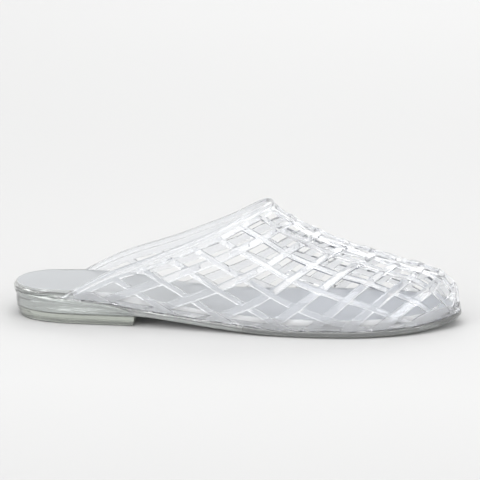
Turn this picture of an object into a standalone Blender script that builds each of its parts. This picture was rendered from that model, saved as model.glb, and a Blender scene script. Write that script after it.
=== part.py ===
"""A clear moulded jelly mule for the right foot: a lattice upper on a footbed, sole and low heel.

Sizes are in millimetres and become metres where a mesh is placed. Along runs from the back of the heel
to the tip of the toe. Outer is the little-toe side (-Y) and inner the arch side (+Y). The shoe is worked
out from its last: the outline of the last's bottom, its ridge, and the heights of the sole under it.
"""

from collections import namedtuple
import math

import bmesh
import bpy
import numpy as np
from mathutils import Vector

MM = 0.001
LENGTH = 255.0          # sole, back of the heel to the tip of the toe
GAP = 0.3               # clearance between neighbouring pieces
SEAT = 0.45             # clearance under the upper, whose facets are flat
WALL = 1.8              # the upper between its raised strips
FLANGE = 1.0            # how far the sole's edge stands out past the upper
EDGE = WALL + FLANGE    # from the last to the sole's edge
LAST_LENGTH = LENGTH - 2 * EDGE
STATIONS = 30           # steps along each side of the sole

# Half widths of the last's bottom, which is round at both ends
Outline = namedtuple("Outline", "along outer inner")
OUTLINE = [
    Outline(8, 15.0, 15.0),
    Outline(20, 23.8, 23.3),
    Outline(35, 27.2, 26.2),
    Outline(60, 28.2, 25.7),
    Outline(90, 30.2, 25.2),
    Outline(120, 35.2, 28.2),
    Outline(150, 40.2, 34.7),
    Outline(175, 41.7, 38.2),
    Outline(195, 40.2, 38.7),
    Outline(215, 35.0, 36.0),
    Outline(232, 26.0, 29.5),
    Outline(244, 14.5, 19.0),
]

# Heights of the sole: its underside, the feather line where the upper stands, and the top of the footbed
Height = namedtuple("Height", "along underside feather bed")
HEIGHTS = [
    Height(0, 6.0, 16.0, 19.0),
    Height(28, 6.0, 15.0, 19.0),
    Height(55, 6.0, 13.2, 18.7),
    Height(73, 6.0, 10.2, 16.8),
    Height(98, 4.0, 7.8, 13.2),
    Height(124, 1.8, 5.6, 10.8),
    Height(156, 0.0, 3.6, 9.6),
    Height(198, 0.0, 3.6, 9.6),
    Height(228, 0.9, 4.6, 10.4),
    Height(244, 2.2, 6.0, 11.6),
    Height(255, 4.4, 8.2, 13.6),
]

# The last's ridge and how full its section is; behind the throat the ridge is where the instep would be
Ridge = namedtuple("Ridge", "along height fullness")
RIDGE = [
    Ridge(20, 140.0, 0.92),
    Ridge(52, 127.0, 0.92),
    Ridge(92, 103.0, 0.92),
    Ridge(128, 78.0, 0.92),
    Ridge(145, 66.4, 0.92),
    Ridge(158, 57.4, 0.93),
    Ridge(175, 48.6, 0.94),
    Ridge(198, 40.2, 0.86),
    Ridge(221, 33.2, 0.76),
    Ridge(232, 30.9, 0.70),
    Ridge(243, 27.2, 0.70),
    Ridge(249, 22.0, 0.70),
    Ridge(LENGTH - EDGE, 8.0, 0.70),
]

# The sole's side, from the bottom up: how far out from the last, and how far above its reference height
Step = namedtuple("Step", "out rise reference")
FLANGE_DEEP = 2.6
OUTSOLE_SIDE = [
    Step(0.9, 0.0, "underside"),
    Step(1.8, 0.7, "underside"),
    Step(1.8, -FLANGE_DEEP, "feather"),
    Step(EDGE - 0.2, 0.2 - FLANGE_DEEP, "feather"),
    Step(EDGE, 0.8 - FLANGE_DEEP, "feather"),
    Step(EDGE, -0.6, "feather"),
    Step(EDGE - 0.4, 0.0, "feather"),
]

HEEL_BREAST = 73.0      # front face of the heel block at its top
HEEL_SLANT = 1.5        # how far the breast leans back by the floor
HEEL_TREAD = 3.0        # stepped layer at the bottom of the heel block
HEEL_SIDE = [
    Step(-1.0, 0.0, "floor"),
    Step(-0.2, 0.7, "floor"),
    Step(0.2, HEEL_TREAD, "floor"),
    Step(0.9, HEEL_TREAD + 0.2, "floor"),
    Step(1.6, -GAP, "underside"),
]

INSOLE = 1.5            # footbed sheet
PLATFORM_ROOM = 0.55    # from the last to the platform, so that the upper's flat facets clear it
INSOLE_ROOM = 1.2       # rim of the platform beside the footbed, inside the upper
RIM_FULL = 17.0         # behind this the platform shows as a wall with a proud rim
RIM_END = 27.0          # ahead of this it lies inside the upper
TOE_ROOM = 1.0          # how far the platform stops short of the last's tip
# The open heel's wall and rim, from the bottom up, and the recess that the footbed lies in
PLATFORM_SIDE = [
    Step(1.9, GAP, "feather"),
    Step(2.0, -2.2, "bed"),
    Step(EDGE + 0.2, -1.3, "bed"),
    Step(EDGE + 0.2, -0.5, "bed"),
    Step(EDGE - 0.4, 0.0, "bed"),
]
PLATFORM_RECESS = [
    Step(1.0, 0.0, "bed"),
    Step(1.0, -INSOLE - GAP, "bed"),
]
# The footbed's edge inside that recess
INSOLE_SIDE = [
    Step(0.0, -INSOLE, "bed"),
    Step(0.0, -0.3, "bed"),
    Step(-0.3, 0.0, "bed"),
]

# The lattice is laid out flat: girth is measured from the ridge, back is measured from the topline
THROAT = 145.0          # the topline's foremost point
THROAT_ROUND = 26.0     # how blunt the topline is at the throat
TOPLINE_SLOPE = 1.08    # how fast it runs back with the girth
SLOPE_EASE = 0.0024     # how much less the rows do so for each millimetre past the middle of the vamp
EASE_START = 55.0       # where the middle of the vamp is, back from the topline
STRIP = 3.6             # width of a woven strip
STRIP_CROWN = 0.7       # how far a strip stands up where it passes over
GIRTH_PITCH = 12.1      # between strips that run towards the toe, beside the ridge
GIRTH_SPREAD = 0.235    # how much wider each gap is than the one above it, halved
GIRTH_STRIPS = 10       # strips on each side of the ridge
TOE_TAPER = 0.09        # share by which the strips draw together towards the toe
TAPER_RUN = (50.0, 130.0)   # distances along the ridge from the throat where that starts and ends
FEATHER_BAND = 3.6      # plain band along the sole
LEAST_HOLE = 14.0       # square millimetres
NEAR = 0.15             # two lines of the lattice this close are the same line
CUT_SNAP = 0.7          # corners this close to a cut are moved onto it
AT_CUT = 0.77           # within this a corner counts as lying on the cut

# Middle lines of the strips that follow the topline, closer together towards the toe
Row = namedtuple("Row", "number back")
ROWS = [
    Row(0, 0.5),
    Row(2, 33.2),
    Row(4, 66.4),
    Row(6, 95.0),
    Row(8, 116.5),
    Row(14, 170.0),
]

# The collar's bead and flat band
Collar = namedtuple("Collar", "back crown")
COLLAR = [
    Collar(0.0, 0.0),
    Collar(1.2, 0.9),
    Collar(2.6, 0.0),
    Collar(5.2, 0.0),
]
WALL_MOST = WALL + max(STRIP_CROWN, max(row.crown for row in COLLAR))


def column(table, name):
    return np.array([getattr(row, name) for row in table], float)


def smooth(places, values, at):
    """Cubic through the values that never overshoots them."""
    step = np.diff(places)
    slope = np.diff(values) / step
    before, after = slope[:-1], slope[1:]
    same_way = before * after > 0
    total = np.where(same_way, before + after, 1.0)
    inside = np.where(same_way, 2 * before * after / total, 0.0)
    tangent = np.concatenate([slope[:1], inside, slope[-1:]])
    at = np.clip(at, places[0], places[-1])
    k = np.clip(np.searchsorted(places, at, side="right") - 1, 0, len(step) - 1)
    t = (at - places[k]) / step[k]
    rise = values[k + 1] - values[k]
    start, end = tangent[k] * step[k], tangent[k + 1] * step[k]
    return values[k] + t * (start + t * (3 * rise - 2 * start - end + t * (start + end - 2 * rise)))


def turn(along):
    """Angle that runs evenly round the last's ends, from 0 at the heel to pi at the toe."""
    return np.arccos(np.clip(1 - 2 * (along - EDGE) / LAST_LENGTH, -1, 1))


def half_width(side, along):
    tips = [Outline(EDGE, 0, 0)], [Outline(LENGTH - EDGE, 0, 0)]
    rows = tips[0] + OUTLINE + tips[1]
    return smooth(turn(column(rows, "along")), column(rows, side), turn(along))


def height(name, along):
    """A height of the sole; the floor is at zero."""
    if name == "floor":
        return np.zeros_like(along)
    return smooth(column(HEIGHTS, "along"), column(HEIGHTS, name), along)


def ridge_height(along):
    return smooth(turn(column(RIDGE, "along")), column(RIDGE, "height"), turn(along))


def fullness(along):
    return smooth(column(RIDGE, "along"), column(RIDGE, "fullness"), along)


def centre_line():
    """Middle of the shoe's box across, so that the part stands centred on its origin."""
    along = np.linspace(EDGE, LENGTH - EDGE, 400)
    return (half_width("inner", along).max() - half_width("outer", along).max()) / 2


CENTRE = centre_line()


def placed(along, across, up):
    """Points in metres about the middle of the shoe's box on the floor."""
    return np.column_stack([along - LENGTH / 2, across - CENTRE, up]) * MM


def plan_loop(out, level=None):
    """Closed loop round the last at a level, or at its bottom, moved out along its own normal."""
    room = 0.0 if level is None else TOE_ROOM
    along = EDGE + (LAST_LENGTH - room) * (1 - np.cos(np.linspace(0, math.pi, STATIONS + 1))) / 2
    narrow = np.ones_like(along)
    if level is not None:
        feather = height("feather", along)
        part = np.clip((level(along) - feather) / (ridge_height(along) - feather), 0, 1)
        narrow = (1 - part**2) ** (fullness(along) / 2)
    sides = [half_width("outer", along) * -narrow, half_width("inner", along) * narrow]
    for side in sides:
        side[[0, -1]] = 0.0
    loop = np.vstack([
        np.column_stack([along, sides[0]]),
        np.column_stack([along, sides[1]])[-2:0:-1],
    ])
    tangent = np.roll(loop, -1, axis=0) - np.roll(loop, 1, axis=0)
    normal = np.column_stack([tangent[:, 1], -tangent[:, 0]])
    normal /= np.linalg.norm(normal, axis=1, keepdims=True)
    reach = out(loop[:, 0]) if callable(out) else out
    return loop + normal * np.broadcast_to(reach, len(loop))[:, None]


def ring(loop, step):
    """A plan loop raised to its height."""
    return placed(loop[:, 0], loop[:, 1], height(step.reference, loop[:, 0]) + step.rise)


def loft(rings):
    """Closed solid through rings from the bottom up, capped straight across from side to side."""
    mesh = bmesh.new()
    loops = [[mesh.verts.new(point) for point in points] for points in rings]
    count = len(loops[0])
    for low, high in zip(loops, loops[1:]):
        for k in range(count):
            after = (k + 1) % count
            mesh.faces.new((low[k], low[after], high[after], high[k]))
    for k in range(count // 2):
        across = [k, k + 1, count - k - 1, (count - k) % count]
        across = list(dict.fromkeys(across))
        mesh.faces.new([loops[-1][i] for i in across])
        mesh.faces.new([loops[0][i] for i in reversed(across)])
    return mesh


def part(name, mesh, material):
    """Object of the shoe from a finished bmesh."""
    data = bpy.data.meshes.new(name)
    mesh.to_mesh(data)
    mesh.free()
    data.materials.append(material)
    data.shade_smooth()
    data.set_sharp_from_angle(angle=math.radians(40))
    made = bpy.data.objects.new(name, data)
    shoe.objects.link(made)
    return made


def plastic(name, colour, roughness, transmission):
    """Moulded plastic with its own colour, gloss and clearness."""
    material = bpy.data.materials.new(name)
    material.use_nodes = True
    shader = material.node_tree.nodes["Principled BSDF"]
    shader.inputs["Base Color"].default_value = colour
    shader.inputs["Metallic"].default_value = 0.0
    shader.inputs["Roughness"].default_value = roughness
    shader.inputs["Transmission Weight"].default_value = transmission
    return material


def make_outsole():
    rings = [ring(plan_loop(step.out), step) for step in OUTSOLE_SIDE]
    return part("outsole", loft(rings), plastic("clear_sole_pvc", (0.86, 0.88, 0.86, 1), 0.08, 0.85))


def make_heel():
    """Block with tapering stepped sides, cut straight across at its breast."""
    rings = [ring(plan_loop(step.out), step) for step in HEEL_SIDE]
    mesh = loft(rings)
    top = height("underside", np.array([0.0]))[0]
    breast = Vector((HEEL_BREAST - LENGTH / 2, 0, top)) * MM
    facing = Vector((top, 0, -HEEL_SLANT)).normalized()
    everything = mesh.verts[:] + mesh.edges[:] + mesh.faces[:]
    cut = bmesh.ops.bisect_plane(
        mesh, geom=everything, dist=1e-6, plane_co=breast, plane_no=facing, clear_outer=True
    )
    rim = [item for item in cut["geom_cut"] if isinstance(item, bmesh.types.BMEdge)]
    bmesh.ops.holes_fill(mesh, edges=rim)
    return part("heel", mesh, plastic("clear_heel_pvc", (0.82, 0.86, 0.80, 1), 0.1, 0.8))


def rim_share(along):
    """1 at the open heel, falling to 0 where the platform goes inside the upper."""
    t = np.clip((RIM_END - along) / (RIM_END - RIM_FULL), 0, 1)
    return t * t * (3 - 2 * t)


def make_midsole():
    """Platform inside the upper, with a wall and proud rim at the open heel and a recess for the footbed."""
    rings = []
    for steps, inside in ((PLATFORM_SIDE, PLATFORM_ROOM), (PLATFORM_RECESS, PLATFORM_ROOM + INSOLE_ROOM)):
        for step in steps:
            loop = plan_loop(
                lambda along: (step.out + inside) * rim_share(along) - inside,
                lambda along: height(step.reference, along) + step.rise,
            )
            rings.append(ring(loop, step))
    return part("midsole", loft(rings), plastic("clear_platform_pvc", (0.85, 0.87, 0.87, 1), 0.1, 0.8))


def make_insole():
    """Footbed sheet in the platform's recess."""
    recess = PLATFORM_RECESS[0].out
    inside = PLATFORM_ROOM + INSOLE_ROOM
    rings = []
    for step in INSOLE_SIDE:
        loop = plan_loop(
            lambda along: (recess + inside) * rim_share(along) - inside - GAP + step.out,
            lambda along: height("bed", along),
        )
        rings.append(ring(loop, step))
    return part("insole", loft(rings), plastic("frosted_footbed_pvc", (0.78, 0.79, 0.8, 1), 0.45, 0.0))


def girths(along, side, samples=49):
    """Section angles from the ridge down, and the girth from the ridge to each, one row a place."""
    angle = np.linspace(math.pi / 2, 0, samples)
    low = height("feather", along) + SEAT
    up = (ridge_height(along) - low)[:, None] * np.sin(angle)
    across = side[:, None] * np.cos(angle) ** fullness(along)[:, None]
    lengths = np.hypot(np.diff(up, axis=1), np.diff(across, axis=1)).cumsum(axis=1)
    return angle, np.hstack([np.zeros((len(along), 1)), lengths])


def ridge_places(distance):
    """Places along the shoe at distances along its ridge from the throat; level behind the throat."""
    past_throat = np.linspace(turn(np.array(THROAT)), math.pi, 200)
    along = EDGE + LAST_LENGTH * (1 - np.cos(past_throat)) / 2
    run = np.hypot(np.diff(along), np.diff(ridge_height(along))).cumsum()
    run = np.concatenate([[0.0], run])
    return np.where(distance < 0, THROAT + distance, np.interp(distance, run, along)), distance - run[-1]


def strip_middles():
    """Girths of the strips that run towards the toe; the gaps between them widen down the sides."""
    number = np.arange(-GIRTH_STRIPS, GIRTH_STRIPS) + 0.5
    return np.sign(number) * (GIRTH_PITCH * np.abs(number) + GIRTH_SPREAD * number**2)


def row_middles():
    """Distances behind which each strip that follows the topline lies."""
    number = np.arange(1, ROWS[-1].number + 1)
    return smooth(column(ROWS, "number"), column(ROWS, "back"), number)


def slant_share(girth):
    """How much longer a width across the slanting rows is when it is measured along the shoe."""
    slant = TOPLINE_SLOPE**2 * girth / np.hypot(THROAT_ROUND, TOPLINE_SLOPE * girth)
    return np.hypot(1, slant)


def on_last(girth, back):
    """Where points of the flat lattice lie: along, side width, section angle and girth past the feather."""
    slope = TOPLINE_SLOPE - SLOPE_EASE * np.maximum(back - EASE_START, 0)
    distance = back + THROAT_ROUND - np.hypot(THROAT_ROUND, slope * girth)
    along, past_tip = ridge_places(distance)
    along = np.clip(along, EDGE, LENGTH - EDGE)
    width = np.where(girth < 0, half_width("outer", along), half_width("inner", along))
    angle, lengths = girths(along, width)
    start, end = TAPER_RUN
    reach = np.abs(girth) * (1 - TOE_TAPER * np.clip((distance - start) / (end - start), 0, 1))
    angles = np.array([np.interp(q, row, angle) for q, row in zip(reach, lengths)])
    past_feather = np.where(past_tip > 0, reach + past_tip, reach - lengths[:, -1])
    return along, width, angles, past_feather


def nearest(values, middles):
    """Which middle line each value is nearest, and how far off it is."""
    off = np.abs(np.subtract.outer(values, middles))
    return off.argmin(axis=-1), off.min(axis=-1)


def crown_at(girth, back, past_feather):
    """How far the wall is raised: bead, and strips that pass over and under each other in turn."""
    strip, off_strip = nearest(girth, strip_middles())
    row, off_row = nearest(back, row_middles())
    strip_over = (strip + row) % 2 == 1
    on_strip = off_strip < NEAR
    on_row = off_row < NEAR
    at_strip = off_strip < STRIP / 2 + NEAR
    at_row = off_row < STRIP / 2 * slant_share(girth) + NEAR
    raised = (on_strip & on_row) | (on_strip & at_row & strip_over) | (on_row & at_strip & ~strip_over)
    crown = np.where(raised & (past_feather < -FEATHER_BAND - NEAR), STRIP_CROWN, 0.0)
    for line in COLLAR:
        crown = np.where(np.abs(back / slant_share(girth) - line.back) < NEAR, line.crown, crown)
    return crown


def flat_lattice():
    """Lattice as a flat grid (girth, back, girth past the feather), trimmed at the feather, holes open."""
    strip = np.array([-STRIP / 2, 0, STRIP / 2])
    across = np.sort(np.append(np.add.outer(strip_middles(), strip).ravel(), 0.0))
    middles = np.concatenate([np.zeros(len(COLLAR)), np.repeat(row_middles(), len(strip))])
    offsets = np.concatenate([column(COLLAR, "back"), np.tile(strip, len(row_middles()))])
    mesh = bmesh.new()
    bmesh.ops.create_grid(mesh, x_segments=len(across) - 1, y_segments=len(middles) - 1, size=1)
    grid = (np.array([vert.co for vert in mesh.verts]) + 1) / 2
    girth = across[np.rint(grid[:, 0] * (len(across) - 1)).astype(int)]
    line = np.rint(grid[:, 1] * (len(middles) - 1)).astype(int)
    back = middles[line] + offsets[line] * slant_share(girth)
    past_feather = on_last(girth, back)[3]
    for vert, point in zip(mesh.verts, np.column_stack([girth, back, past_feather])):
        vert.co = point
    for level, clear in ((0.0, True), (-FEATHER_BAND, False)):
        bmesh.ops.bisect_plane(
            mesh, geom=mesh.verts[:] + mesh.edges[:] + mesh.faces[:], dist=CUT_SNAP,
            plane_co=(0, 0, level), plane_no=(0, 0, 1), clear_outer=clear,
        )
    spare = [face for face in mesh.faces if is_hole(face) or is_sliver(face)]
    bmesh.ops.delete(mesh, geom=spare, context="FACES")
    bmesh.ops.remove_doubles(mesh, verts=mesh.verts, dist=CUT_SNAP)
    return mesh


def is_sliver(face):
    """Whether a face of the flat lattice lies all along the feather."""
    return min(vert.co.z for vert in face.verts) > -2 * CUT_SNAP


def is_hole(face):
    """Whether a face of the flat lattice lies between strips, clear of the collar and the feather band."""
    middle = face.calc_center_median()
    share = slant_share(middle.x)
    between_strips = nearest(middle.x, strip_middles())[1] > STRIP / 2
    between_rows = nearest(middle.y, row_middles())[1] > STRIP / 2 * share
    past_collar = middle.y > COLLAR[-1].back * share
    corners = [vert.co.xy for vert in face.verts]
    area = abs(sum(a.cross(b) for a, b in zip(corners, corners[1:] + corners[:1]))) / 2
    above_band = max(vert.co.z for vert in face.verts) < -FEATHER_BAND + AT_CUT
    return between_strips and between_rows and past_collar and above_band and area > LEAST_HOLE


def make_upper():
    """Lattice wrapped on the last and given its wall outwards, thicker at the strips and the bead."""
    mesh = flat_lattice()
    flat = np.array([vert.co for vert in mesh.verts])
    along, width, angle, past_feather = on_last(flat[:, 0], flat[:, 1])
    angle = np.where(np.abs(flat[:, 2]) < AT_CUT, 0.0, angle)
    low = height("feather", along) + SEAT
    across = np.sign(flat[:, 0]) * width * np.cos(angle) ** fullness(along)
    points = placed(along, across, low + (ridge_height(along) - low) * np.sin(angle))
    for vert, point in zip(mesh.verts, points):
        vert.co = point
    bmesh.ops.reverse_faces(mesh, faces=mesh.faces)
    crown = crown_at(flat[:, 0], flat[:, 1], past_feather)
    upper = part("upper", mesh, plastic("clear_upper_pvc", (0.95, 0.96, 0.97, 1), 0.05, 0.95))
    group = upper.vertex_groups.new(name="wall")
    for index, rise in enumerate(crown):
        group.add([index], (WALL + rise) / WALL_MOST, "REPLACE")
    wall = upper.modifiers.new("wall", "SOLIDIFY")
    wall.thickness = WALL_MOST * MM
    wall.offset = 1.0
    wall.vertex_group = group.name
    return upper


for old in list(bpy.data.objects):
    bpy.data.objects.remove(old, do_unlink=True)
shoe = bpy.data.collections.new("jelly_mule")
bpy.context.scene.collection.children.link(shoe)
make_outsole()
make_heel()
make_midsole()
make_insole()
make_upper()
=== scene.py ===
import math

import bmesh
import bpy
import numpy as np
from mathutils import Matrix, Vector


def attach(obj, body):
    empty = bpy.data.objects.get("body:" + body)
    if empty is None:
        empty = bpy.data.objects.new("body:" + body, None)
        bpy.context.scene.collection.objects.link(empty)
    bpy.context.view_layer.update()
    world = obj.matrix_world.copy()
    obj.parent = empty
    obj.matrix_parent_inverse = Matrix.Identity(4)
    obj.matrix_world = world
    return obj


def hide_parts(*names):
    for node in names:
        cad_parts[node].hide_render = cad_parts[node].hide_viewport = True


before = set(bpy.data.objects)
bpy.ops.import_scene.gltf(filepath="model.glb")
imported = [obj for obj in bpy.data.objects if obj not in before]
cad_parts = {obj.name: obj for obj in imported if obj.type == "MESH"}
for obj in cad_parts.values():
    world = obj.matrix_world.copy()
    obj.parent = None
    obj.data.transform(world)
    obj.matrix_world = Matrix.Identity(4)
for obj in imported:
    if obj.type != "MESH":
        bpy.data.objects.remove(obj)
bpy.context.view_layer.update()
mm = 0.001
tiny = 1e-12    # keeps a division by a length safe
print("frame loaded:", ", ".join(sorted(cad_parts)))

# The last that the whole shoe is worked out from, in millimetres: along runs from heel to toe,
# outer is the little-toe side (-Y) and inner the arch side (+Y)
last = {
    "length": 255.0,        # sole, heel to toe
    "edge": 2.8,            # from the last out to the sole's edge
    "seat": 0.45,           # room between the upper and the sole's flange
    "samples": 400,         # places at which a curve is measured
    "outline": {
        "along": [2.8, 8, 20, 35, 60, 90, 120, 150, 175, 195, 215, 232, 244, 252.2],
        "outer": [0, 15.0, 23.8, 27.2, 28.2, 30.2, 35.2, 40.2, 41.7, 40.2, 35.0, 26.0, 14.5, 0],
        "inner": [0, 15.0, 23.3, 26.2, 25.7, 25.2, 28.2, 34.7, 38.2, 38.7, 36.0, 29.5, 19.0, 0],
    },
    "heights": {
        "along": [0, 28, 55, 73, 98, 124, 156, 198, 228, 244, 255],
        "underside": [6.0, 6.0, 6.0, 6.0, 4.0, 1.8, 0.0, 0.0, 0.9, 2.2, 4.4],
        "feather": [16.0, 15.0, 13.2, 10.2, 7.8, 5.6, 3.6, 3.6, 4.6, 6.0, 8.2],
        "bed": [19.0, 19.0, 18.7, 16.8, 13.2, 10.8, 9.6, 9.6, 10.4, 11.6, 13.6],
    },
    "ridge": {
        "along": [20, 52, 92, 128, 145, 158, 175, 198, 221, 232, 243, 249, 252.2],
        "height": [140, 127, 103, 78, 66.4, 57.4, 48.6, 40.2, 33.2, 30.9, 27.2, 22.0, 8.0],
        "fullness": [0.92, 0.92, 0.92, 0.92, 0.92, 0.93, 0.94, 0.86, 0.76, 0.70, 0.70, 0.70, 0.70],
    },
}
lastLength = last["length"] - 2 * last["edge"]


# Cubic through the values that never overshoots them: harmonic mean of the slopes at each place
def smoothCurve(places, values, at):
    places = np.asarray(places, float)
    values = np.asarray(values, float)
    step = np.diff(places)
    slope = np.diff(values) / step
    before, after = slope[:-1], slope[1:]
    sameWay = before * after > 0
    total = np.where(sameWay, before + after, 1.0)
    inside = np.where(sameWay, 2 * before * after / total, 0.0)
    tangent = np.concatenate([slope[:1], inside, slope[-1:]])
    at = np.clip(at, places[0], places[-1])
    k = np.clip(np.searchsorted(places, at, side="right") - 1, 0, len(step) - 1)
    t = (at - places[k]) / step[k]
    rise = values[k + 1] - values[k]
    start, end = tangent[k] * step[k], tangent[k + 1] * step[k]
    return values[k] + t * (start + t * (3 * rise - 2 * start - end + t * (start + end - 2 * rise)))


# Angle that runs evenly round the last's ends: arc cosine of the share of its length
def turnAngle(along):
    return np.arccos(np.clip(1 - 2 * (np.asarray(along, float) - last["edge"]) / lastLength, -1, 1))


def alongAt(turn):  # the other way round
    return last["edge"] + lastLength * (1 - np.cos(turn)) / 2


def halfWidth(side, along):  # one side's outline, smooth in the angle so that both ends are round
    table = last["outline"]
    return smoothCurve(turnAngle(table["along"]), table[side], turnAngle(along))


def soleHeight(name, along):  # underside, feather edge or footbed, smooth along the shoe
    return smoothCurve(last["heights"]["along"], last["heights"][name], along)


def ridgeHeight(along):  # smooth in the angle so that the toe is round
    return smoothCurve(turnAngle(last["ridge"]["along"]), last["ridge"]["height"], turnAngle(along))


def fullness(along):  # power of a section's cosine, smaller where the section is squarer
    return smoothCurve(last["ridge"]["along"], last["ridge"]["fullness"], along)


# How far the middle of the shoe's box lies from the line that both half widths start at
allAlong = np.linspace(last["edge"], last["length"] - last["edge"], last["samples"])
centreLine = (halfWidth("inner", allAlong).max() - halfWidth("outer", allAlong).max()) / 2


def inMetres(along, across, up):  # the shoe's box is centred on the frame's origin and stands on the floor
    along, across, up = np.broadcast_arrays(along, across, up)
    return np.stack([along - last["length"] / 2, across - centreLine, up], axis=-1) * mm


# Colour and node helpers
def linear(hexColour):  # sRGB hex to linear red, green, blue, alpha
    channels = np.array([int(hexColour[k:k + 2], 16) for k in (1, 3, 5)]) / 255
    low, high = channels / 12.92, ((channels + 0.055) / 1.055) ** 2.4
    return (*np.where(channels <= 0.04045, low, high).tolist(), 1.0)


def addNode(tree, kind, settings={}, sockets={}, links={}):  # one node: its settings, socket values and links
    made = tree.nodes.new(kind)
    for key, value in settings.items():
        setattr(made, key, value)
    for key, value in sockets.items():
        made.inputs[key].default_value = value
    for key, source in links.items():
        tree.links.new(source, made.inputs[key])
    return made


def addRamp(tree, tones, source):  # colour ramp: a tone at each share of the way
    ramp = addNode(tree, "ShaderNodeValToRGB", links={"Fac": source})
    stops = ramp.color_ramp.elements
    while len(stops) < len(tones):
        stops.new(0.5)
    for stop, (share, tone) in zip(stops, sorted(tones.items())):
        stop.position = share
        stop.color = linear(tone)
    return ramp


def newMaterial(name, sockets):  # Principled surface with its constant sockets set
    material = bpy.data.materials.new(name)
    material.use_nodes = True
    shader = material.node_tree.nodes["Principled BSDF"]
    for key, value in sockets.items():
        shader.inputs[key].default_value = value
    return material, material.node_tree, shader


# Clear PVC, injection moulded and polished by its mould: glassy, with a faint flow waviness
clearPvc = {
    "ior": 1.53,
    "depth": 60.0,          # mm of plastic that its depth tint is for
    "skinRoughness": 0.03,
    "upper": {
        "tint": "#FAFBFD",
        "depthTint": "#F2F4F8",
        "roughness": 0.03,
        "haze": 0.08,       # share of light that it scatters
        "wave": (9.0, 9.0, 9.0),    # mm between the soft waves of the moulding, each way
        "waveDepth": 0.02,
    },
    "sole": {               # thicker, so its flow lines show as streaks and it is greyer
        "tint": "#C6CAC8",
        "depthTint": "#E8EAE9",
        "roughness": 0.04,
        "haze": 0.06,
        "wave": (6.0, 6.0, 30.0),
        "waveDepth": 0.30,
        "skin": 1.0,        # share of polished outer skin
    },
    "heel": {               # a solid block: a green-grey cast and a little cloudy
        "tint": "#DADDD8",
        "depthTint": "#DDE2D9",
        "roughness": 0.08,
        "haze": 0.14,
        "wave": (9.0, 9.0, 20.0),
        "waveDepth": 0.30,
        "skin": 0.5,
    },
    "shadedTread": {              # the walking face by the floor: rough and hazy like a fine cut pattern, and its grey tint is painted shade where it meets the floor
        "tint": "#AEB0AD",
        "depthTint": "#E8EAE9",
        "roughness": 0.45,
        "haze": 0.42,
        "wave": (1.6, 8.0, 8.0),
        "waveDepth": 0.30,
    },
    "lightenedFlange": {             # the sole's thin edge and the rim at the open heel: a lighter copy of the sole's plastic, painted light that brightens them
        "tint": "#F2F4F3",
        "depthTint": "#E8EAE9",
        "roughness": 0.05,
        "haze": 0.10,
        "wave": (6.0, 6.0, 30.0),
        "waveDepth": 0.05,
        "skin": 1.0,
    },
    "lightenedCore": {               # the platform's sides inside the upper: matt, and paler than the sole, painted light that lifts the shade seen through the upper
        "tint": "#F6F7F9",
        "depthTint": "#E8EAE9",
        "roughness": 0.06,
        "haze": 0.50,
        "wave": (16.0, 16.0, 1.8),
        "waveDepth": 0.25,
    },
    "paintedShadeEdge": {            # lower edges of the strips, where they face down: matt and dark grey, painted shade
        "tint": "#7E828A",
        "depthTint": "#F2F4F8",
        "roughness": 0.30,
        "haze": 0.50,
        "wave": (9.0, 9.0, 9.0),
        "waveDepth": 0.02,
    },
}


# Glassy surface bumped by stretched noise, over a body that takes up light with the depth it crosses
def makeClearPvc(part):
    look = clearPvc[part]
    material, tree, shader = newMaterial("clear_pvc_" + part, {
        "Base Color": linear(look["tint"]),
        "Roughness": look["roughness"],
        "IOR": clearPvc["ior"],
        "Transmission Weight": 1 - look["haze"],
        "Coat Weight": look.get("skin", 0.0),
        "Coat Roughness": clearPvc["skinRoughness"],
    })
    place = addNode(tree, "ShaderNodeTexCoord")
    stretched = addNode(
        tree, "ShaderNodeMapping",
        sockets={"Scale": [1 / (size * mm) for size in look["wave"]]},
        links={"Vector": place.outputs["Object"]},
    )
    waves = addNode(
        tree, "ShaderNodeTexNoise",
        sockets={"Scale": 1.0, "Detail": 1.0},
        links={"Vector": stretched.outputs["Vector"]},
    )
    bump = addNode(
        tree, "ShaderNodeBump",
        sockets={"Strength": 1.0, "Distance": look["waveDepth"] * mm},
        links={"Height": waves.outputs["Fac"]},
    )
    tree.links.new(bump.outputs["Normal"], shader.inputs["Normal"])
    absorb = addNode(
        tree, "ShaderNodeVolumeAbsorption",
        sockets={"Color": linear(look["depthTint"]), "Density": 1 / (clearPvc["depth"] * mm)},
    )
    tree.links.new(absorb.outputs["Volume"], tree.nodes["Material Output"].inputs["Volume"])
    return material


# Frosted PVC sheet, calendered with a fine matt grain: pale grey, satin, no clear reflections
footbedLook = {
    "open": "#9EA1A4",      # at the open heel
    "coveredLightened": "#A5A9B0",   # under the upper: lighter, painted light that makes up for the light the upper keeps from it
    "cut": "#F4F6F7",       # the sheet's cut edge: paler, partly as a cut edge scatters more light and partly painted light that lifts the shade on it
    "roughness": 0.42,
    "ior": 1.53,
    "change": (-0.04, 0.05),  # metres along the shoe where the painted light under the upper eases in
    "grain": 0.5,           # mm, drawn as coarse as shows
    "grainDepth": 0.03,
    "grainStrength": 0.6,
}
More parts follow.
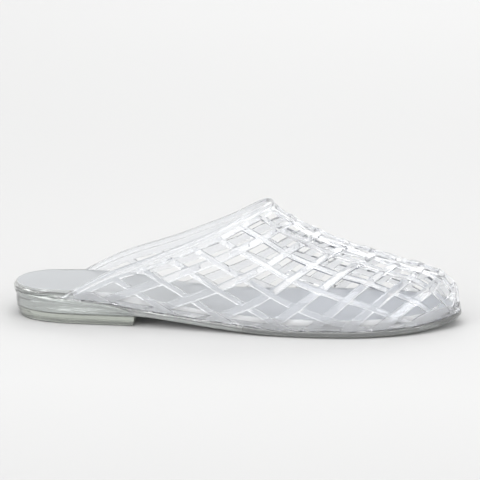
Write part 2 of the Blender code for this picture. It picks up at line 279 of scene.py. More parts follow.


# The sheet's face, its tone eased along the shoe into the painted light under the upper and its grain a fine
# noise, and its cut edge, paler with partly painted light
def makeFrostedPvc():
    satin = {"Roughness": footbedLook["roughness"], "IOR": footbedLook["ior"]}
    cut = newMaterial("frosted_pvc_cut_edge_lightened", {"Base Color": linear(footbedLook["cut"]), **satin})[0]
    material, tree, shader = newMaterial("frosted_pvc_sheet", satin)
    place = addNode(tree, "ShaderNodeTexCoord")
    split = addNode(tree, "ShaderNodeSeparateXYZ", links={"Vector": place.outputs["Object"]})
    # The part under the upper is lighter: painted light
    start, end = footbedLook["change"]
    share = addNode(
        tree, "ShaderNodeMapRange", settings={"interpolation_type": "SMOOTHSTEP"},
        sockets={"From Min": start, "From Max": end}, links={"Value": split.outputs["X"]},
    )
    blend = addNode(    # a Mix node's colours are its sockets 6 and 7, and its output 2
        tree, "ShaderNodeMix", settings={"data_type": "RGBA"},
        sockets={6: linear(footbedLook["open"]), 7: linear(footbedLook["coveredLightened"])},
        links={"Factor": share.outputs["Result"]},
    )
    tree.links.new(blend.outputs[2], shader.inputs["Base Color"])
    grain = addNode(
        tree, "ShaderNodeTexNoise", sockets={"Scale": 1 / (footbedLook["grain"] * mm), "Detail": 2.0},
        links={"Vector": place.outputs["Object"]},
    )
    bump = addNode(
        tree, "ShaderNodeBump",
        sockets={"Strength": footbedLook["grainStrength"], "Distance": footbedLook["grainDepth"] * mm},
        links={"Height": grain.outputs["Fac"]},
    )
    tree.links.new(bump.outputs["Normal"], shader.inputs["Normal"])
    return material, cut


upperPvc = makeClearPvc("upper")
solePvc = makeClearPvc("sole")
heelPvc = makeClearPvc("heel")
shadedTreadPvc = makeClearPvc("shadedTread")
lightenedCorePvc = makeClearPvc("lightenedCore")
lightenedFlangePvc = makeClearPvc("lightenedFlange")
paintedShadeEdgePvc = makeClearPvc("paintedShadeEdge")
frostedPvc, lightenedCutPvc = makeFrostedPvc()
print("materials made:", len(bpy.data.materials))

mesh = {
    "weld": 1e-7,           # metres; points closer than this are one
    "sliver": 1e-8,         # shorter edges go
}


# One shaded object from arrays of points and groups of faces; it rides on the shoe and stands for its nodes
def addPiece(name, points, groups, materials, slot, *nodes, sharp=40, which=None):
    data = bpy.data.meshes.new(name)
    data.from_pydata(points.tolist(), [], [face for group in groups for face in group.tolist()])
    for material in materials:
        data.materials.append(material)
    if which is not None:       # the material of each face
        data.polygons.foreach_set("material_index", which.astype(np.int32))
    built = bmesh.new()
    built.from_mesh(data)
    bmesh.ops.remove_doubles(built, verts=built.verts, dist=mesh["weld"])
    bmesh.ops.dissolve_degenerate(built, edges=built.edges, dist=mesh["sliver"])
    bmesh.ops.recalc_face_normals(built, faces=built.faces)
    built.to_mesh(data)
    built.free()
    data.shade_smooth()
    data.set_sharp_from_angle(angle=math.radians(sharp))
    made = bpy.data.objects.new(name, data)
    bpy.context.scene.collection.objects.link(made)
    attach(made, "root")
    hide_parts(*nodes)
    print(name, "made:", len(data.polygons), "faces")


def gridFaces(rows, columns, closed):  # quads of a grid of points, wrapped round its columns if closed
    index = np.arange(rows * columns).reshape(rows, columns)
    if closed:
        index = np.hstack([index, index[:, :1]])
    return np.stack([index[:-1, :-1], index[:-1, 1:], index[1:, 1:], index[1:, :-1]], axis=-1).reshape(-1, 4)


# Sole, platform and footbed: profiles of steps carried round loops of the last, in millimetres
sole = {
    "stations": 150,        # steps along each side
    "corner": 0.35,         # share of each step that its rounded corner takes
    "across": 20,           # steps across the caps
    "rimFull": 17.0,        # behind this the platform shows as a wall with a proud rim
    "rimEnd": 27.0,         # ahead of this it lies inside the upper
    "platformRoom": 0.55,   # from the upper in to the platform, to the recess, and at the toe
    "footbedRoom": 1.75,
    "toeRoom": 1.0,
    "gap": -0.05,           # round the footbed; less than none, so its edge is pressed into the rim
    "dish": 0.5,            # hollow of the footbed
    "dishWidth": 40.0,      # where the footbed is this wide or wider, the hollow is full
}
# Where its finishes begin and end
soleEdge = {
    "shadedTread": 0.95,          # height of the walking face's edge, up to which its painted shade reaches
    "treadLift": 1.0,       # the grey painted shade ends where the sole lifts this far off the floor
    "treadLow": 0.8,        # below this the walking face's painted shade wins over the flange's painted light
    "aheadOfBreast": 2.0,   # up to here the heel block is the walking face
    "seam": 0.1,            # from the feather up to where the platform begins
    "coreStart": 38.0,      # ahead of this the platform's sides are matt and paler, painted light
    "flangeStart": 68.0,    # ahead of this the flange is lighter, painted light
    "rimStop": 42.0,        # behind this the rim is lighter, painted light
    "rimDepth": 2.5,        # height of the lighter rim
}
# Each step: out from the last, rise, and the height that it rises from
outsoleSteps = [
    (0.9, 0.0, "underside"), (1.8, 0.7, "underside"), (1.8, -2.6, "feather"), (2.6, -2.4, "feather"),
    (2.8, -1.8, "feather"), (2.8, -0.6, "feather"), (2.4, 0.0, "feather"),
]
platformSteps = [
    (1.9, 0.3, "feather"), (1.9, -4.4, "bed"), (2.7, -3.4, "bed"), (3.0, -2.6, "bed"), (3.0, -2.2, "bed"),
    (2.9, -1.8, "bed"), (1.45, -0.25, "bed"), (1.2, -0.05, "bed"), (1.1, 0.0, "bed"),
]
recessSteps = [(1.0, 0.0, "bed"), (1.0, -1.8, "bed")]
footbedSteps = [(0.0, -1.5, "bed"), (0.0, -0.15, "bed"), (-0.15, 0.0, "bed")]
references = ["floor", "underside", "feather", "bed"]


# Steps as rows of numbers (out, rise, share of each reference), each corner rounded by a short parabola of
# a few points
def softened(steps, share, count=4):
    shares = [[float(name == other) for other in references] for _, _, name in steps]
    rows = np.hstack([[step[:2] for step in steps], shares])
    inner = rows[1:-1, None]
    t = np.linspace(0, 1, count)[:, None]
    before = inner + (rows[:-2, None] - inner) * share
    after = inner + (rows[2:, None] - inner) * share
    bends = (1 - t) ** 2 * before + 2 * t * (1 - t) * inner + t**2 * after
    return np.vstack([rows[:1], bends.reshape(-1, rows.shape[1]), rows[-1:]])


def stepHeight(row, along):  # a row's rise plus its shares of the reference heights
    total = np.full_like(along, row[1])
    for share, name in zip(row[2:], references):
        if share and name != "floor":
            total = total + share * soleHeight(name, along)
    return total


# Closed loop round the last, narrowed to its section at a level, then moved out along its own normal
def planLoop(out, level=None):
    room = 0.0 if level is None else sole["toeRoom"]
    turn = np.linspace(0, math.pi, sole["stations"] + 1)
    along = last["edge"] + (lastLength - room) * (1 - np.cos(turn)) / 2
    narrow = np.ones_like(along)
    if level is not None:
        feather = soleHeight("feather", along)
        part = np.clip((level(along) - feather) / (ridgeHeight(along) - feather), 0, 1)
        narrow = (1 - part**2) ** (fullness(along) / 2)
    outer = -halfWidth("outer", along) * narrow
    inner = halfWidth("inner", along) * narrow
    outer[[0, -1]] = 0.0
    inner[[0, -1]] = 0.0
    loop = np.vstack([np.column_stack([along, outer]), np.column_stack([along, inner])[-2:0:-1]])
    tangent = np.roll(loop, -1, axis=0) - np.roll(loop, 1, axis=0)
    normal = np.column_stack([tangent[:, 1], -tangent[:, 0]])
    normal /= np.linalg.norm(normal, axis=1, keepdims=True)
    reach = out(loop[:, 0]) if callable(out) else np.full(len(loop), float(out))
    return loop + normal * reach[:, None]


def rimShare(along):  # 1 at the open heel, eased to 0 where the platform goes inside the upper
    t = np.clip((sole["rimEnd"] - along) / (sole["rimEnd"] - sole["rimFull"]), 0, 1)
    return t * t * (3 - 2 * t)


# Closed body from rings, bottom up; each cap runs straight across, hollowed by a parabola if dished
def loftedBody(rings, dish=0.0):
    rings = np.array(rings)
    count = rings.shape[1]
    half = count // 2
    points = [rings.reshape(-1, 3)]
    faces = [gridFaces(len(rings), count, True)]
    q = np.linspace(0, 1, sole["across"] + 1)[None, :, None]
    for ring, top in ((rings[0], False), (rings[-1], True)):
        near = ring[:half + 1, None]
        far = np.vstack([ring[:1], ring[:half - 1:-1]])[:, None]
        cap = near + (far - near) * q
        width = np.linalg.norm(far - near, axis=-1)
        fall = 4 * q[..., 0] * (1 - q[..., 0]) * np.minimum(1, width / (sole["dishWidth"] * mm))
        cap[..., 2] -= dish * mm * fall * top
        quads = gridFaces(half + 1, sole["across"] + 1, False)
        start = sum(len(part) for part in points)
        points.append(cap.reshape(-1, 3))
        faces.append((quads[:, ::-1] if top else quads) + start)
    return np.vstack(points), np.vstack(faces)


def ringAt(loop, row):  # a loop lifted to a row's height at each of its places
    return inMetres(loop[:, 0], loop[:, 1], stepHeight(row, loop[:, 0]))


def platformRing(row, inside):  # out by its step at the open heel, inside the last elsewhere
    loop = planLoop(
        lambda along: (row[0] + inside) * rimShare(along) - inside,
        lambda along: stepHeight(row, along),
    )
    return ringAt(loop, row)


# Finish of each face, from what all its corners share: 1 the edge of the walking face, grey with painted
# shade by the floor, 2 the platform's sides inside the upper, paler with painted light, 3 the flange and the
# rim at the open heel, lighter with painted light, and otherwise 0
def soleFinish(points, faces):
    along, up = points[:, 0] / mm + last["length"] / 2, points[:, 2] / mm
    onHeel = along < heel["breast"] + soleEdge["aheadOfBreast"]
    low = np.where(onHeel, 0, soleHeight("underside", along))
    feather = soleHeight("feather", along)
    shadedTread = (up < low + soleEdge["shadedTread"]) & (low < soleEdge["treadLift"])
    lightenedCore = (up > feather + soleEdge["seam"]) & (along > soleEdge["coreStart"])
    lightenedEdges = (up < feather + soleEdge["seam"]) & (along > soleEdge["flangeStart"])
    lightenedEdges &= ~(shadedTread & (up < low + soleEdge["treadLow"]))
    lightenedEdges |= (up > soleHeight("bed", along) - soleEdge["rimDepth"]) & (along < soleEdge["rimStop"])
    finish = shadedTread[faces].all(axis=1).astype(int)
    finish[lightenedEdges[faces].all(axis=1)] = 3
    finish[lightenedCore[faces].all(axis=1)] = 2
    return finish


# Sole and platform are one moulding: the flange's steps, then the platform's wall, rim and recess
def makeSole():
    rings = [ringAt(planLoop(row[0]), row) for row in softened(outsoleSteps, sole["corner"])]
    rings += [platformRing(row, sole["platformRoom"]) for row in softened(platformSteps, sole["corner"])]
    rings += [platformRing(row, sole["footbedRoom"]) for row in softened(recessSteps, sole["corner"])]
    points, faces = loftedBody(rings)
    # The plain sole, the grey walking face (painted shade by the floor), the paler platform sides and the
    # lighter flange and rim (painted light)
    finishes = [solePvc, shadedTreadPvc, lightenedCorePvc, lightenedFlangePvc]
    which = soleFinish(points, faces)
    addPiece("clear_sole", points, [faces], finishes, "sole", "outsole", "midsole", which=which)


# Sheet in the recess: every ring has the plan of the recess at the footbed's height, less the gap
def makeFootbed():
    room = sole["footbedRoom"]
    recess = recessSteps[0][0]
    top = softened([(0.0, 0.0, "bed"), (0.0, 0.0, "bed")], 0)[0]
    rings = []
    for row in softened(footbedSteps, sole["corner"]):
        loop = planLoop(
            lambda along: (recess + room) * rimShare(along) - room - sole["gap"] + row[0],
            lambda along: stepHeight(top, along),
        )
        rings.append(ringAt(loop, row))
    points, faces = loftedBody(rings, sole["dish"])
    # The sheet's cut sides take the paler edge, partly painted light
    finishes = [frostedPvc, lightenedCutPvc]
    cut = np.arange(len(faces)) < (len(rings) - 1) * len(rings[0])
    addPiece("frosted_footbed", points, [faces], finishes, "footbed", "insole", sharp=60, which=cut)


# Heel block under the sole, with a stepped layer at the bottom
heel = {
    "breast": 73.0,         # its straight front face
    "slant": 1.5,           # how far the breast leans back at the floor
    "around": 120,          # points round the back
    "straight": 24,         # points across the breast
}
heelSteps = [
    (-1.0, 0.0, "floor"), (-0.2, 0.7, "floor"), (0.2, 3.0, "floor"), (0.8, 3.3, "floor"),
    (1.6, 0.45, "underside"), (0.85, -0.1, "underside"),
]


# Ring of the block: the loop's back part, its points closest at the very back, closed straight at the breast
def heelRing(row):
    loop = planLoop(row[0])
    top = soleHeight("underside", np.array([0.0]))[0]
    level = stepHeight(row, np.array([heel["breast"]]))[0]
    breast = heel["breast"] - heel["slant"] * (top - level) / top
    start = loop[:, 0].min()
    side = np.where(loop[:, 1] < 0, -1, 1)
    order = np.argsort(side * loop[:, 0])
    u = np.linspace(-1, 1, heel["around"])
    place = (breast - start) * np.sign(u) * u**2
    across = np.interp(place, (side * (loop[:, 0] - start))[order], loop[order, 1])
    line = np.linspace(across[-1], across[0], heel["straight"] + 2)[1:-1]
    along = np.concatenate([np.abs(place) + start, np.full(heel["straight"], breast)])
    return inMetres(along, np.concatenate([across, line]), level)


# Rings bottom up, each end closed by a fan of triangles round its middle
def makeHeel():
    rings = np.array([heelRing(row) for row in softened(heelSteps, sole["corner"])])
    levels, count = rings.shape[:2]
    points = np.vstack([rings.reshape(-1, 3), rings[0].mean(axis=0), rings[-1].mean(axis=0)])
    bottom, top = levels * count, levels * count + 1
    here = np.arange(count)
    after = np.roll(here, -1)
    topRing = (levels - 1) * count
    lower = np.column_stack([after, here, np.full(count, bottom)])
    upper = np.column_stack([topRing + here, topRing + after, np.full(count, top)])
    groups = [gridFaces(levels, count, True), lower, upper]
    # The heel's walking face takes the grey finish: painted shade by the floor
    which = np.concatenate([soleFinish(points, group) == 1 for group in groups])
    addPiece("clear_heel", points, groups, [heelPvc, shadedTreadPvc], "heel", "heel", which=which)


makeSole()
makeFootbed()
makeHeel()


# Lattice upper: laid out flat in millimetres, girth measured from the ridge and back from the topline
lattice = {
    "throat": 145.0,        # the topline's foremost point
    "throatRound": 26.0,    # how blunt the topline is there
    "slope": 1.08,          # how fast it runs back with the girth
    "slopeEase": 0.0024,    # slope lost for each mm past easeStart
    "easeStart": 55.0,
    "strip": 3.6,           # width of a woven strip
    "girthPitch": 12.1,     # between strips at the ridge
    "girthSpread": 0.235,   # how the pitch grows down the sides
    "girthStrips": 10,      # on each side
    "toeTaper": 0.09,       # share of the girth that the strips close up by towards the toe
    "taperRun": (50.0, 130.0),  # down the ridge, where they do so
    "featherBand": 2.6,     # plain band along the sole
    "rowNumber": [0, 2, 4, 6, 8, 14],   # strips that follow the topline, counted from it
    "rowBack": [0.5, 33.2, 66.4, 95.0, 116.5, 170.0],
    "collarBead": 2.6,      # width of the round bead along the topline
    "collarBand": 5.2,      # width of the whole collar
    "wall": 1.8,            # thickness
    "crown": 0.45,          # how far a strip stands up where it passes over, and sinks where it passes under
    "beadCrown": 0.9,       # how far the bead stands up
    "bandWall": 0.7,        # thickness of the plain band
    "bandFlare": 0.6,       # how much further the band stands out at the sole
    "flarePower": 4,
    "edgeShare": 0.80,      # height of a strip's straight side, as a share of its middle
    "roundness": 4.0,       # power of the strip's dome
    "innerRound": 0.4,      # mm that the inner edges are rounded back
}
# The flat grid that the lattice is cut from, and what counts as on a line, in millimetres
latticeGrid = {
    "stripLines": 11,       # across a strip, a gap, the collar's bead and the rest of the collar
    "gapLines": 3,
    "beadLines": 9,
    "bandLines": 5,
    "besideStrip": 0.1,     # outside a strip, where the neighbouring surface begins
    "onStrip": 1.001,       # half widths from its middle that still are the strip
    "onBand": 0.01,         # outside the feather band or the collar that still is the band
    "onCut": 0.02,          # points this near a cut count as on it
    "onFeather": 0.03,      # points this near the feather lie on it
}
# Which edges of the strips get the dark matt finish that paints shade on them
paintedShadeEdge = {
    "facing": -0.4,         # the edge's face looks down at least this much
    "offFeather": 0.1,      # mm, not along the sole
    "offRidge": 24.0,       # mm of girth; over the top of the foot the edges stay clear
}


def stripMiddles():  # girths of the strips towards the toe; the gaps widen down the sides
    number = np.arange(-lattice["girthStrips"], lattice["girthStrips"]) + 0.5
    return np.sign(number) * (lattice["girthPitch"] * np.abs(number) + lattice["girthSpread"] * number**2)


def rowMiddles():  # distances back of the strips that follow the topline
    return smoothCurve(lattice["rowNumber"], lattice["rowBack"], np.arange(1, lattice["rowNumber"][-1] + 1))


def slantShare(girth):  # how much longer a width across the slanting rows is, measured along the shoe
    slant = lattice["slope"] ** 2 * girth / np.hypot(lattice["throatRound"], lattice["slope"] * girth)
    return np.hypot(1, slant)


# Table of section angles by even shares of the girth, a row for each place along, for one side
def angleTable(side, places=241, shares=129):
    along = alongAt(np.linspace(0, math.pi, places))
    angle = np.linspace(math.pi / 2, 0, shares)
    low = soleHeight("feather", along) + last["seat"]
    up = (ridgeHeight(along) - low)[:, None] * np.sin(angle)
    across = halfWidth(side, along)[:, None] * np.cos(angle) ** fullness(along)[:, None]
    steps = np.hypot(np.diff(up, axis=1), np.diff(across, axis=1)).cumsum(axis=1)
    length = np.hstack([np.zeros((places, 1)), steps])
    even = np.linspace(0, 1, shares)
    angles = np.array([np.interp(even * row[-1], row, angle) for row in length])
    return length[:, -1], angles


def readTable(table, row, column):  # bilinear look-up at fractional places
    r = np.clip(row.astype(int), 0, table.shape[0] - 2)
    c = np.clip(column.astype(int), 0, table.shape[1] - 2)
    fr, fc = row - r, column - c
    top = table[r, c] * (1 - fc) + table[r, c + 1] * fc
    return top * (1 - fr) + (table[r + 1, c] * (1 - fc) + table[r + 1, c + 1] * fc) * fr


sideTables = {side: angleTable(side) for side in ("outer", "inner")}


# Where points of the flat lattice lie on the last: place along, section angle, and girth past the feather.
# Distance down the ridge: that from the topline less the topline's own curve, a hyperbola in the girth
def onLast(girth, back):
    slope = lattice["slope"] - lattice["slopeEase"] * np.maximum(back - lattice["easeStart"], 0)
    distance = back + lattice["throatRound"] - np.hypot(lattice["throatRound"], slope * girth)
    turns = np.linspace(turnAngle(lattice["throat"]), math.pi, last["samples"])
    ridge = alongAt(turns)
    run = np.concatenate([[0.0], np.hypot(np.diff(ridge), np.diff(ridgeHeight(ridge))).cumsum()])
    along = np.where(distance < 0, lattice["throat"] + distance, np.interp(distance, run, ridge))
    along = np.clip(along, last["edge"], last["length"] - last["edge"])
    pastTip = distance - run[-1]
    start, end = lattice["taperRun"]
    reach = np.abs(girth) * (1 - lattice["toeTaper"] * np.clip((distance - start) / (end - start), 0, 1))
    angle, total = np.zeros_like(along), np.zeros_like(along)
    for side, here in (("outer", girth < 0), ("inner", girth >= 0)):
        lengths, angles = sideTables[side]
        row = turnAngle(along) / math.pi * (len(lengths) - 1)
        whole = np.interp(row, np.arange(len(lengths)), lengths)
        share = np.clip(reach / np.maximum(whole, tiny), 0, 1)
        angle = np.where(here, readTable(angles, row, share * (angles.shape[1] - 1)), angle)
        total = np.where(here, whole, total)
    past = np.where(pastTip > 0, reach + pastTip, reach - total)
    return along, angle, past


# Point of the last: half width times cosine to the fullness across, ridge height times sine up
def lastPoint(turn, angle, inside):
    along = alongAt(turn)
    low = soleHeight("feather", along) + last["seat"]
    width = np.where(inside, halfWidth("inner", along), -halfWidth("outer", along))
    across = width * np.cos(angle) ** fullness(along)
    return inMetres(along, across, low + (ridgeHeight(along) - low) * np.sin(angle))


def lastNormal(turn, angle, inside, step=1e-3):  # cross product of the slopes along and up
    before, after = np.clip(turn - step, 0, math.pi), np.clip(turn + step, 0, math.pi)
    under, over = np.clip(angle - step, 0, math.pi / 2), np.clip(angle + step, 0, math.pi / 2)
    lengthwise = lastPoint(after, angle, inside) - lastPoint(before, angle, inside)
    upwards = lastPoint(turn, over, inside) - lastPoint(turn, under, inside)
    normal = np.cross(lengthwise, upwards) * np.where(inside, -1, 1)[:, None]
    return normal / np.maximum(np.linalg.norm(normal, axis=1, keepdims=True), tiny)


def nearest(values, middles):  # which middle line each value is nearest, and how far off it is
    off = np.abs(np.subtract.outer(values, middles))
    return off.argmin(axis=-1), off.min(axis=-1)


def dome(u):  # rounded top of a strip, 1 in its middle and 0 with an upright side at its edge
    power = lattice["roundness"]
    return np.clip(1 - np.abs(u) ** power, 0, 1) ** (1 / power)


# Heights of the outer and inner skins. Outer: the higher of the two strips, each a dome times a wave that is
# up where it passes over, at least the flared band by the sole, and a round bead along the collar.
# Inner: raised at the strips' edges, where the dome falls off
def wallHeight(girth, back, past):
    strip, offStrip = nearest(girth, stripMiddles())
    row, offRow = nearest(back, rowMiddles())
    slant = slantShare(girth)
    u = offStrip / (lattice["strip"] / 2)
    v = offRow / (lattice["strip"] / 2 * slant)
    rowPlace = np.interp(back, rowMiddles(), np.arange(len(rowMiddles())))
    stripPlace = np.interp(girth, stripMiddles(), np.arange(len(stripMiddles())))
    rise = lattice["crown"]
    edge = lattice["edgeShare"]
    stripTop = lattice["wall"] - rise * np.cos(math.pi * (rowPlace + strip))
    rowTop = lattice["wall"] + rise * np.cos(math.pi * (stripPlace + row))
    stripHeight = np.where(u <= latticeGrid["onStrip"], stripTop * (edge + (1 - edge) * dome(u)), 0)
    rowHeight = np.where(v <= latticeGrid["onStrip"], rowTop * (edge + (1 - edge) * dome(v)), 0)
    height = np.maximum(stripHeight, rowHeight)
    near = np.clip(1 + past / lattice["featherBand"], 0, 1)
    band = lattice["bandWall"] + lattice["bandFlare"] * near ** lattice["flarePower"]
    inBand = past > -lattice["featherBand"] - latticeGrid["onBand"]
    height = np.where(inBand, np.maximum(height, band), height)
    place = back / slant
    bead = (place - lattice["collarBead"] / 2) / (lattice["collarBead"] / 2)
    collar = lattice["wall"] + lattice["beadCrown"] * np.sqrt(np.clip(1 - bead**2, 0, 1))
    height = np.where(place < lattice["collarBand"] + latticeGrid["onBand"], collar, height)
    lift = lattice["innerRound"] * (1 - dome(np.minimum(np.minimum(u, v), 1)))
    plain = (past > -lattice["featherBand"]) | (place < lattice["collarBand"])
    return height, np.where(plain, 0, lift)


# Grid lines: sine-spaced across each strip, one just outside it, a few even ones over each gap, and the
# collar's own lines; those that follow the topline lie further apart with the girth, by the slant
def flatGrid():
    strips, rows = stripMiddles(), rowMiddles()
    half = lattice["strip"] / 2
    beside = half + latticeGrid["besideStrip"]
    across = half * np.sin(np.linspace(-math.pi / 2, math.pi / 2, latticeGrid["stripLines"]))
    across = np.concatenate([[-beside], across, [beside]])
    share = np.arange(1, latticeGrid["gapLines"] + 1) / (latticeGrid["gapLines"] + 1)
    stripGaps = strips[:-1, None] + half + (np.diff(strips)[:, None] - 2 * half) * share
    girth = np.sort(np.concatenate([np.add.outer(strips, across).ravel(), stripGaps.ravel()]))
    slant = slantShare(girth)
    bead = lattice["collarBead"] / 2 * (1 - np.cos(np.linspace(0, math.pi, latticeGrid["beadLines"])))
    band = np.linspace(lattice["collarBead"], lattice["collarBand"], latticeGrid["bandLines"])
    collarLines = np.outer(np.concatenate([bead, band[1:]]), slant)
    rowLines = rows[:, None, None] + across[None, :, None] * slant
    firstGap = collarLines[-1] + (rowLines[0, 0] - collarLines[-1]) * share[:, None]
    gapLines = rowLines[:-1, -1:] + (rowLines[1:, :1] - rowLines[:-1, -1:]) * share[None, :, None]
    inOrder = [collarLines, firstGap]
    for k in range(len(rows)):
        inOrder.append(rowLines[k])
        if k < len(rows) - 1:
            inOrder.append(gapLines[k])
    back = np.vstack(inOrder)
    return np.broadcast_to(girth, back.shape), back


# Flat lattice as triangles, cut along the feather and the top of its band; the holes go, and so does what
# lies past the feather
def cutLattice():
    girth, back = flatGrid()
    past = onLast(girth.ravel(), back.ravel())[2]
    points = np.column_stack([girth.ravel(), back.ravel(), past])
    data = bpy.data.meshes.new("flat_lattice")
    data.from_pydata(points.tolist(), [], gridFaces(*girth.shape, False).tolist())
    cut = bmesh.new()
    cut.from_mesh(data)
    for level in (0.0, -lattice["featherBand"]):
        bmesh.ops.bisect_plane(
            cut, geom=cut.verts[:] + cut.edges[:] + cut.faces[:], dist=latticeGrid["onCut"],
            plane_co=(0, 0, level), plane_no=(0, 0, 1),
        )
    bmesh.ops.triangulate(cut, faces=cut.faces)
    cut.to_mesh(data)
    cut.free()
    flat = np.empty(len(data.vertices) * 3, np.float32)
    data.vertices.foreach_get("co", flat)
    flat = flat.reshape(-1, 3).astype(float)
    corners = np.empty(len(data.polygons) * 3, np.int32)
    data.loops.foreach_get("vertex_index", corners)
    corners = corners.reshape(-1, 3)
    bpy.data.meshes.remove(data)
    middle = flat[corners].mean(axis=1)
    slant = slantShare(middle[:, 0])
    half = lattice["strip"] / 2
    hole = nearest(middle[:, 0], stripMiddles())[1] > half
    hole &= nearest(middle[:, 1], rowMiddles())[1] > half * slant
    hole &= middle[:, 1] > lattice["collarBand"] * slant
    hole &= middle[:, 2] < -lattice["featherBand"]
    kept = corners[~hole & (middle[:, 2] < 0)]
    used, renumbered = np.unique(kept, return_inverse=True)
    return flat[used], renumbered.reshape(-1, 3)


# Outer skin at the wall's height over the last, inner skin on the last, joined by walls along open edges
def makeUpper():
    flat, faces = cutLattice()
    faces = faces[:, ::-1]      # girth and back run the other way round on the last
    along, angle, past = onLast(flat[:, 0], flat[:, 1])
    angle = np.where(np.abs(flat[:, 2]) < latticeGrid["onFeather"], 0.0, angle)
    turn = turnAngle(along)
    inside = flat[:, 0] >= 0
    base = lastPoint(turn, angle, inside)
    normal = lastNormal(turn, angle, inside)
    height, lift = wallHeight(flat[:, 0], flat[:, 1], flat[:, 2])
    outer = base + normal * height[:, None] * mm
    inner = base + normal * lift[:, None] * mm
    count = len(base)
    ends = np.concatenate([faces[:, [0, 1]], faces[:, [1, 2]], faces[:, [2, 0]]])
    key = np.sort(ends, axis=1)
    key = key[:, 0] * count + key[:, 1]
    _, first, uses = np.unique(key, return_index=True, return_counts=True)
    rim = ends[first[uses == 1]]        # an open edge has one triangle
    start, end = rim.T
    walls = np.column_stack([end, start, start + count, end + count])
    facing = np.cross(outer[end] - outer[start], normal[start])
    facing /= np.maximum(np.linalg.norm(facing, axis=1, keepdims=True), tiny)
    # Walls that face down take the dark grey matt finish: painted shade
    paintedShade = facing[:, 2] < paintedShadeEdge["facing"]
    paintedShade &= np.abs(past[start]) > paintedShadeEdge["offFeather"]
    paintedShade &= np.abs(flat[start, 0]) > paintedShadeEdge["offRidge"]
    which = np.concatenate([np.zeros(2 * len(faces)), paintedShade])
    points = np.vstack([outer, inner])
    groups = [faces, faces[:, ::-1] + count, walls]
    finishes = [upperPvc, paintedShadeEdgePvc]
    addPiece("clear_lattice_upper", points, groups, finishes, "upper", "upper", sharp=75, which=which)


makeUpper()


# Stage: a pale matt floor that runs out to the back, a little lighter the further it goes
stage = {
    "floorSize": 6.0,
    "tones": {              # metres behind the shoe's middle: tone
        -0.5: "#B6B6B6",
        -0.15: "#C9C9C9",
        0.03: "#CCCCCC",
        0.07: "#CDCDCD",
        0.9: "#D2D2D2",
    },
    "roughness": 0.9,
    "gloss": 0.1,
    "below": -0.0002,       # metres; just clear of the sole's flat bottom
}


def makeFloor():  # one flat square, its tone a ramp from front to back
    half, low = stage["floorSize"] / 2, stage["below"]
    corners = [(-half, -half, low), (half, -half, low), (half, half, low), (-half, half, low)]
    data = bpy.data.meshes.new("floor")
    data.from_pydata(corners, [], [(0, 1, 2, 3)])
    floor = bpy.data.objects.new("floor", data)
    bpy.context.scene.collection.objects.link(floor)
    paint = {"Roughness": stage["roughness"], "Specular IOR Level": stage["gloss"]}
    material, tree, shader = newMaterial("matt_painted_floor", paint)
    place = addNode(tree, "ShaderNodeTexCoord")
    split = addNode(tree, "ShaderNodeSeparateXYZ", links={"Vector": place.outputs["Object"]})
    front, back = min(stage["tones"]), max(stage["tones"])
    share = addNode(
        tree, "ShaderNodeMapRange",
        sockets={"From Min": front, "From Max": back}, links={"Value": split.outputs["Y"]},
    )
    tones = {(y - front) / (back - front): tone for y, tone in stage["tones"].items()}
    ramp = addRamp(tree, tones, share.outputs["Result"])
    tree.links.new(ramp.outputs["Color"], shader.inputs["Base Color"])
    data.materials.append(material)


# Light: a pale tent, a little greyer overhead, with soft boxes in front, behind, overhead and at both sides
studio = {
    "tent": {               # share of the way up: tone
        0.0: "#F1F1F0",
        0.5: "#EFEFEE",
        0.85: "#E0E0E0",
    },
    "strength": 0.95,
    "boxes": {              # place, what it is aimed at, width and depth, radiance
        "front_box": ((0.0, -0.95, 0.95), (0.0, 0.0, 0.0), (1.3, 0.9), 2.1),
        "back_box": ((0.0, 1.3, 1.1), (0.0, 1.0, 0.0), (1.2, 0.84), 1.2),
        "rim_box": ((0.1, 1.4, 0.95), (0.0, 0.0, 0.0), (1.2, 0.84), 1.4),
        "top_box": ((0.0, -0.2, 1.5), (0.0, 0.0, 0.0), (1.1, 0.6), 2.2),
        "left_box": ((-0.95, -1.0, 0.42), (0.0, 0.0, 0.0), (0.9, 0.63), 3.9),
        "right_box": ((1.15, -0.8, 0.42), (0.0, 0.0, 0.0), (0.9, 0.63), 3.9),
    },
    "bounces": 40,          # light crosses and is mirrored inside many clear walls
}


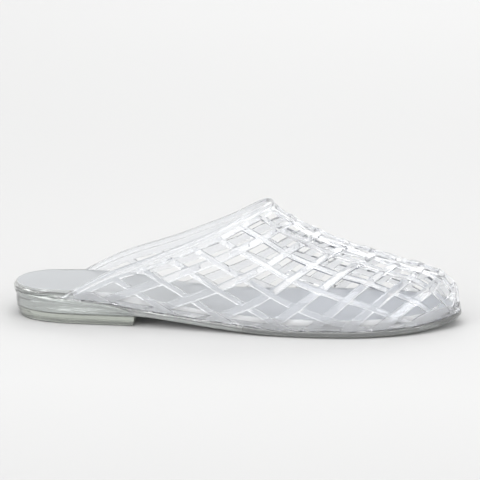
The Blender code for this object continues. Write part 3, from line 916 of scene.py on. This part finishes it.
def addSoftBox(name, place, aim, size, radiance):  # power is radiance times pi times the area
    data = bpy.data.lights.new(name, "AREA")
    data.shape = "RECTANGLE"
    data.size, data.size_y = size
    data.energy = radiance * math.pi * data.size * data.size_y
    lamp = bpy.data.objects.new(name, data)
    bpy.context.scene.collection.objects.link(lamp)
    lamp.location = place
    lamp.rotation_euler = (Vector(aim) - lamp.location).to_track_quat("-Z", "Y").to_euler()


def makeLight():  # the tent's tone is a ramp in how far up a direction points
    world = bpy.data.worlds.new("studio")
    bpy.context.scene.world = world
    world.use_nodes = True
    tree = world.node_tree
    background = tree.nodes["Background"]
    background.inputs["Strength"].default_value = studio["strength"]
    place = addNode(tree, "ShaderNodeTexCoord")
    split = addNode(tree, "ShaderNodeSeparateXYZ", links={"Vector": place.outputs["Generated"]})
    ramp = addRamp(tree, studio["tent"], split.outputs["Z"])
    tree.links.new(ramp.outputs["Color"], background.inputs["Color"])
    for name, box in studio["boxes"].items():
        addSoftBox(name, *box)
    for kind in ("max", "transmission", "glossy", "diffuse"):
        setattr(bpy.context.scene.cycles, kind + "_bounces", studio["bounces"])


# Camera at the photo's angle, far off with a long lens so that lines stay nearly parallel
camera = {
    "azimuth": 7.0,
    "elevation": 13.3,
    "distance": 3.0,
    "frameWidth": 0.272,    # metres of the shoe's plane across the picture
    "right": 0.00181,       # picture's middle from the frame's origin
    "up": 0.04397,
    "sensor": 36.0,
    "clip": (0.05, 30.0),
}


# Lens: sensor times distance over the frame's width; the camera stands off its target along the back axis
def makeCamera():
    a, e = math.radians(camera["azimuth"]), math.radians(camera["elevation"])
    right = Vector((math.cos(a), math.sin(a), 0))
    back = Vector((math.sin(a) * math.cos(e), -math.cos(a) * math.cos(e), math.sin(e)))
    up = back.cross(right)
    data = bpy.data.cameras.new("camera")
    data.sensor_width = camera["sensor"]
    data.lens = camera["sensor"] * camera["distance"] / camera["frameWidth"]
    data.clip_start, data.clip_end = camera["clip"]
    made = bpy.data.objects.new("camera", data)
    bpy.context.scene.collection.objects.link(made)
    target = right * camera["right"] + up * camera["up"]
    turn = Matrix((right, up, back)).transposed().to_4x4()
    made.matrix_world = Matrix.Translation(target + back * camera["distance"]) @ turn
    bpy.context.scene.camera = made


makeFloor()
makeLight()
makeCamera()
bpy.context.scene.view_settings.view_transform = "Standard"
print("stage, light and camera made")
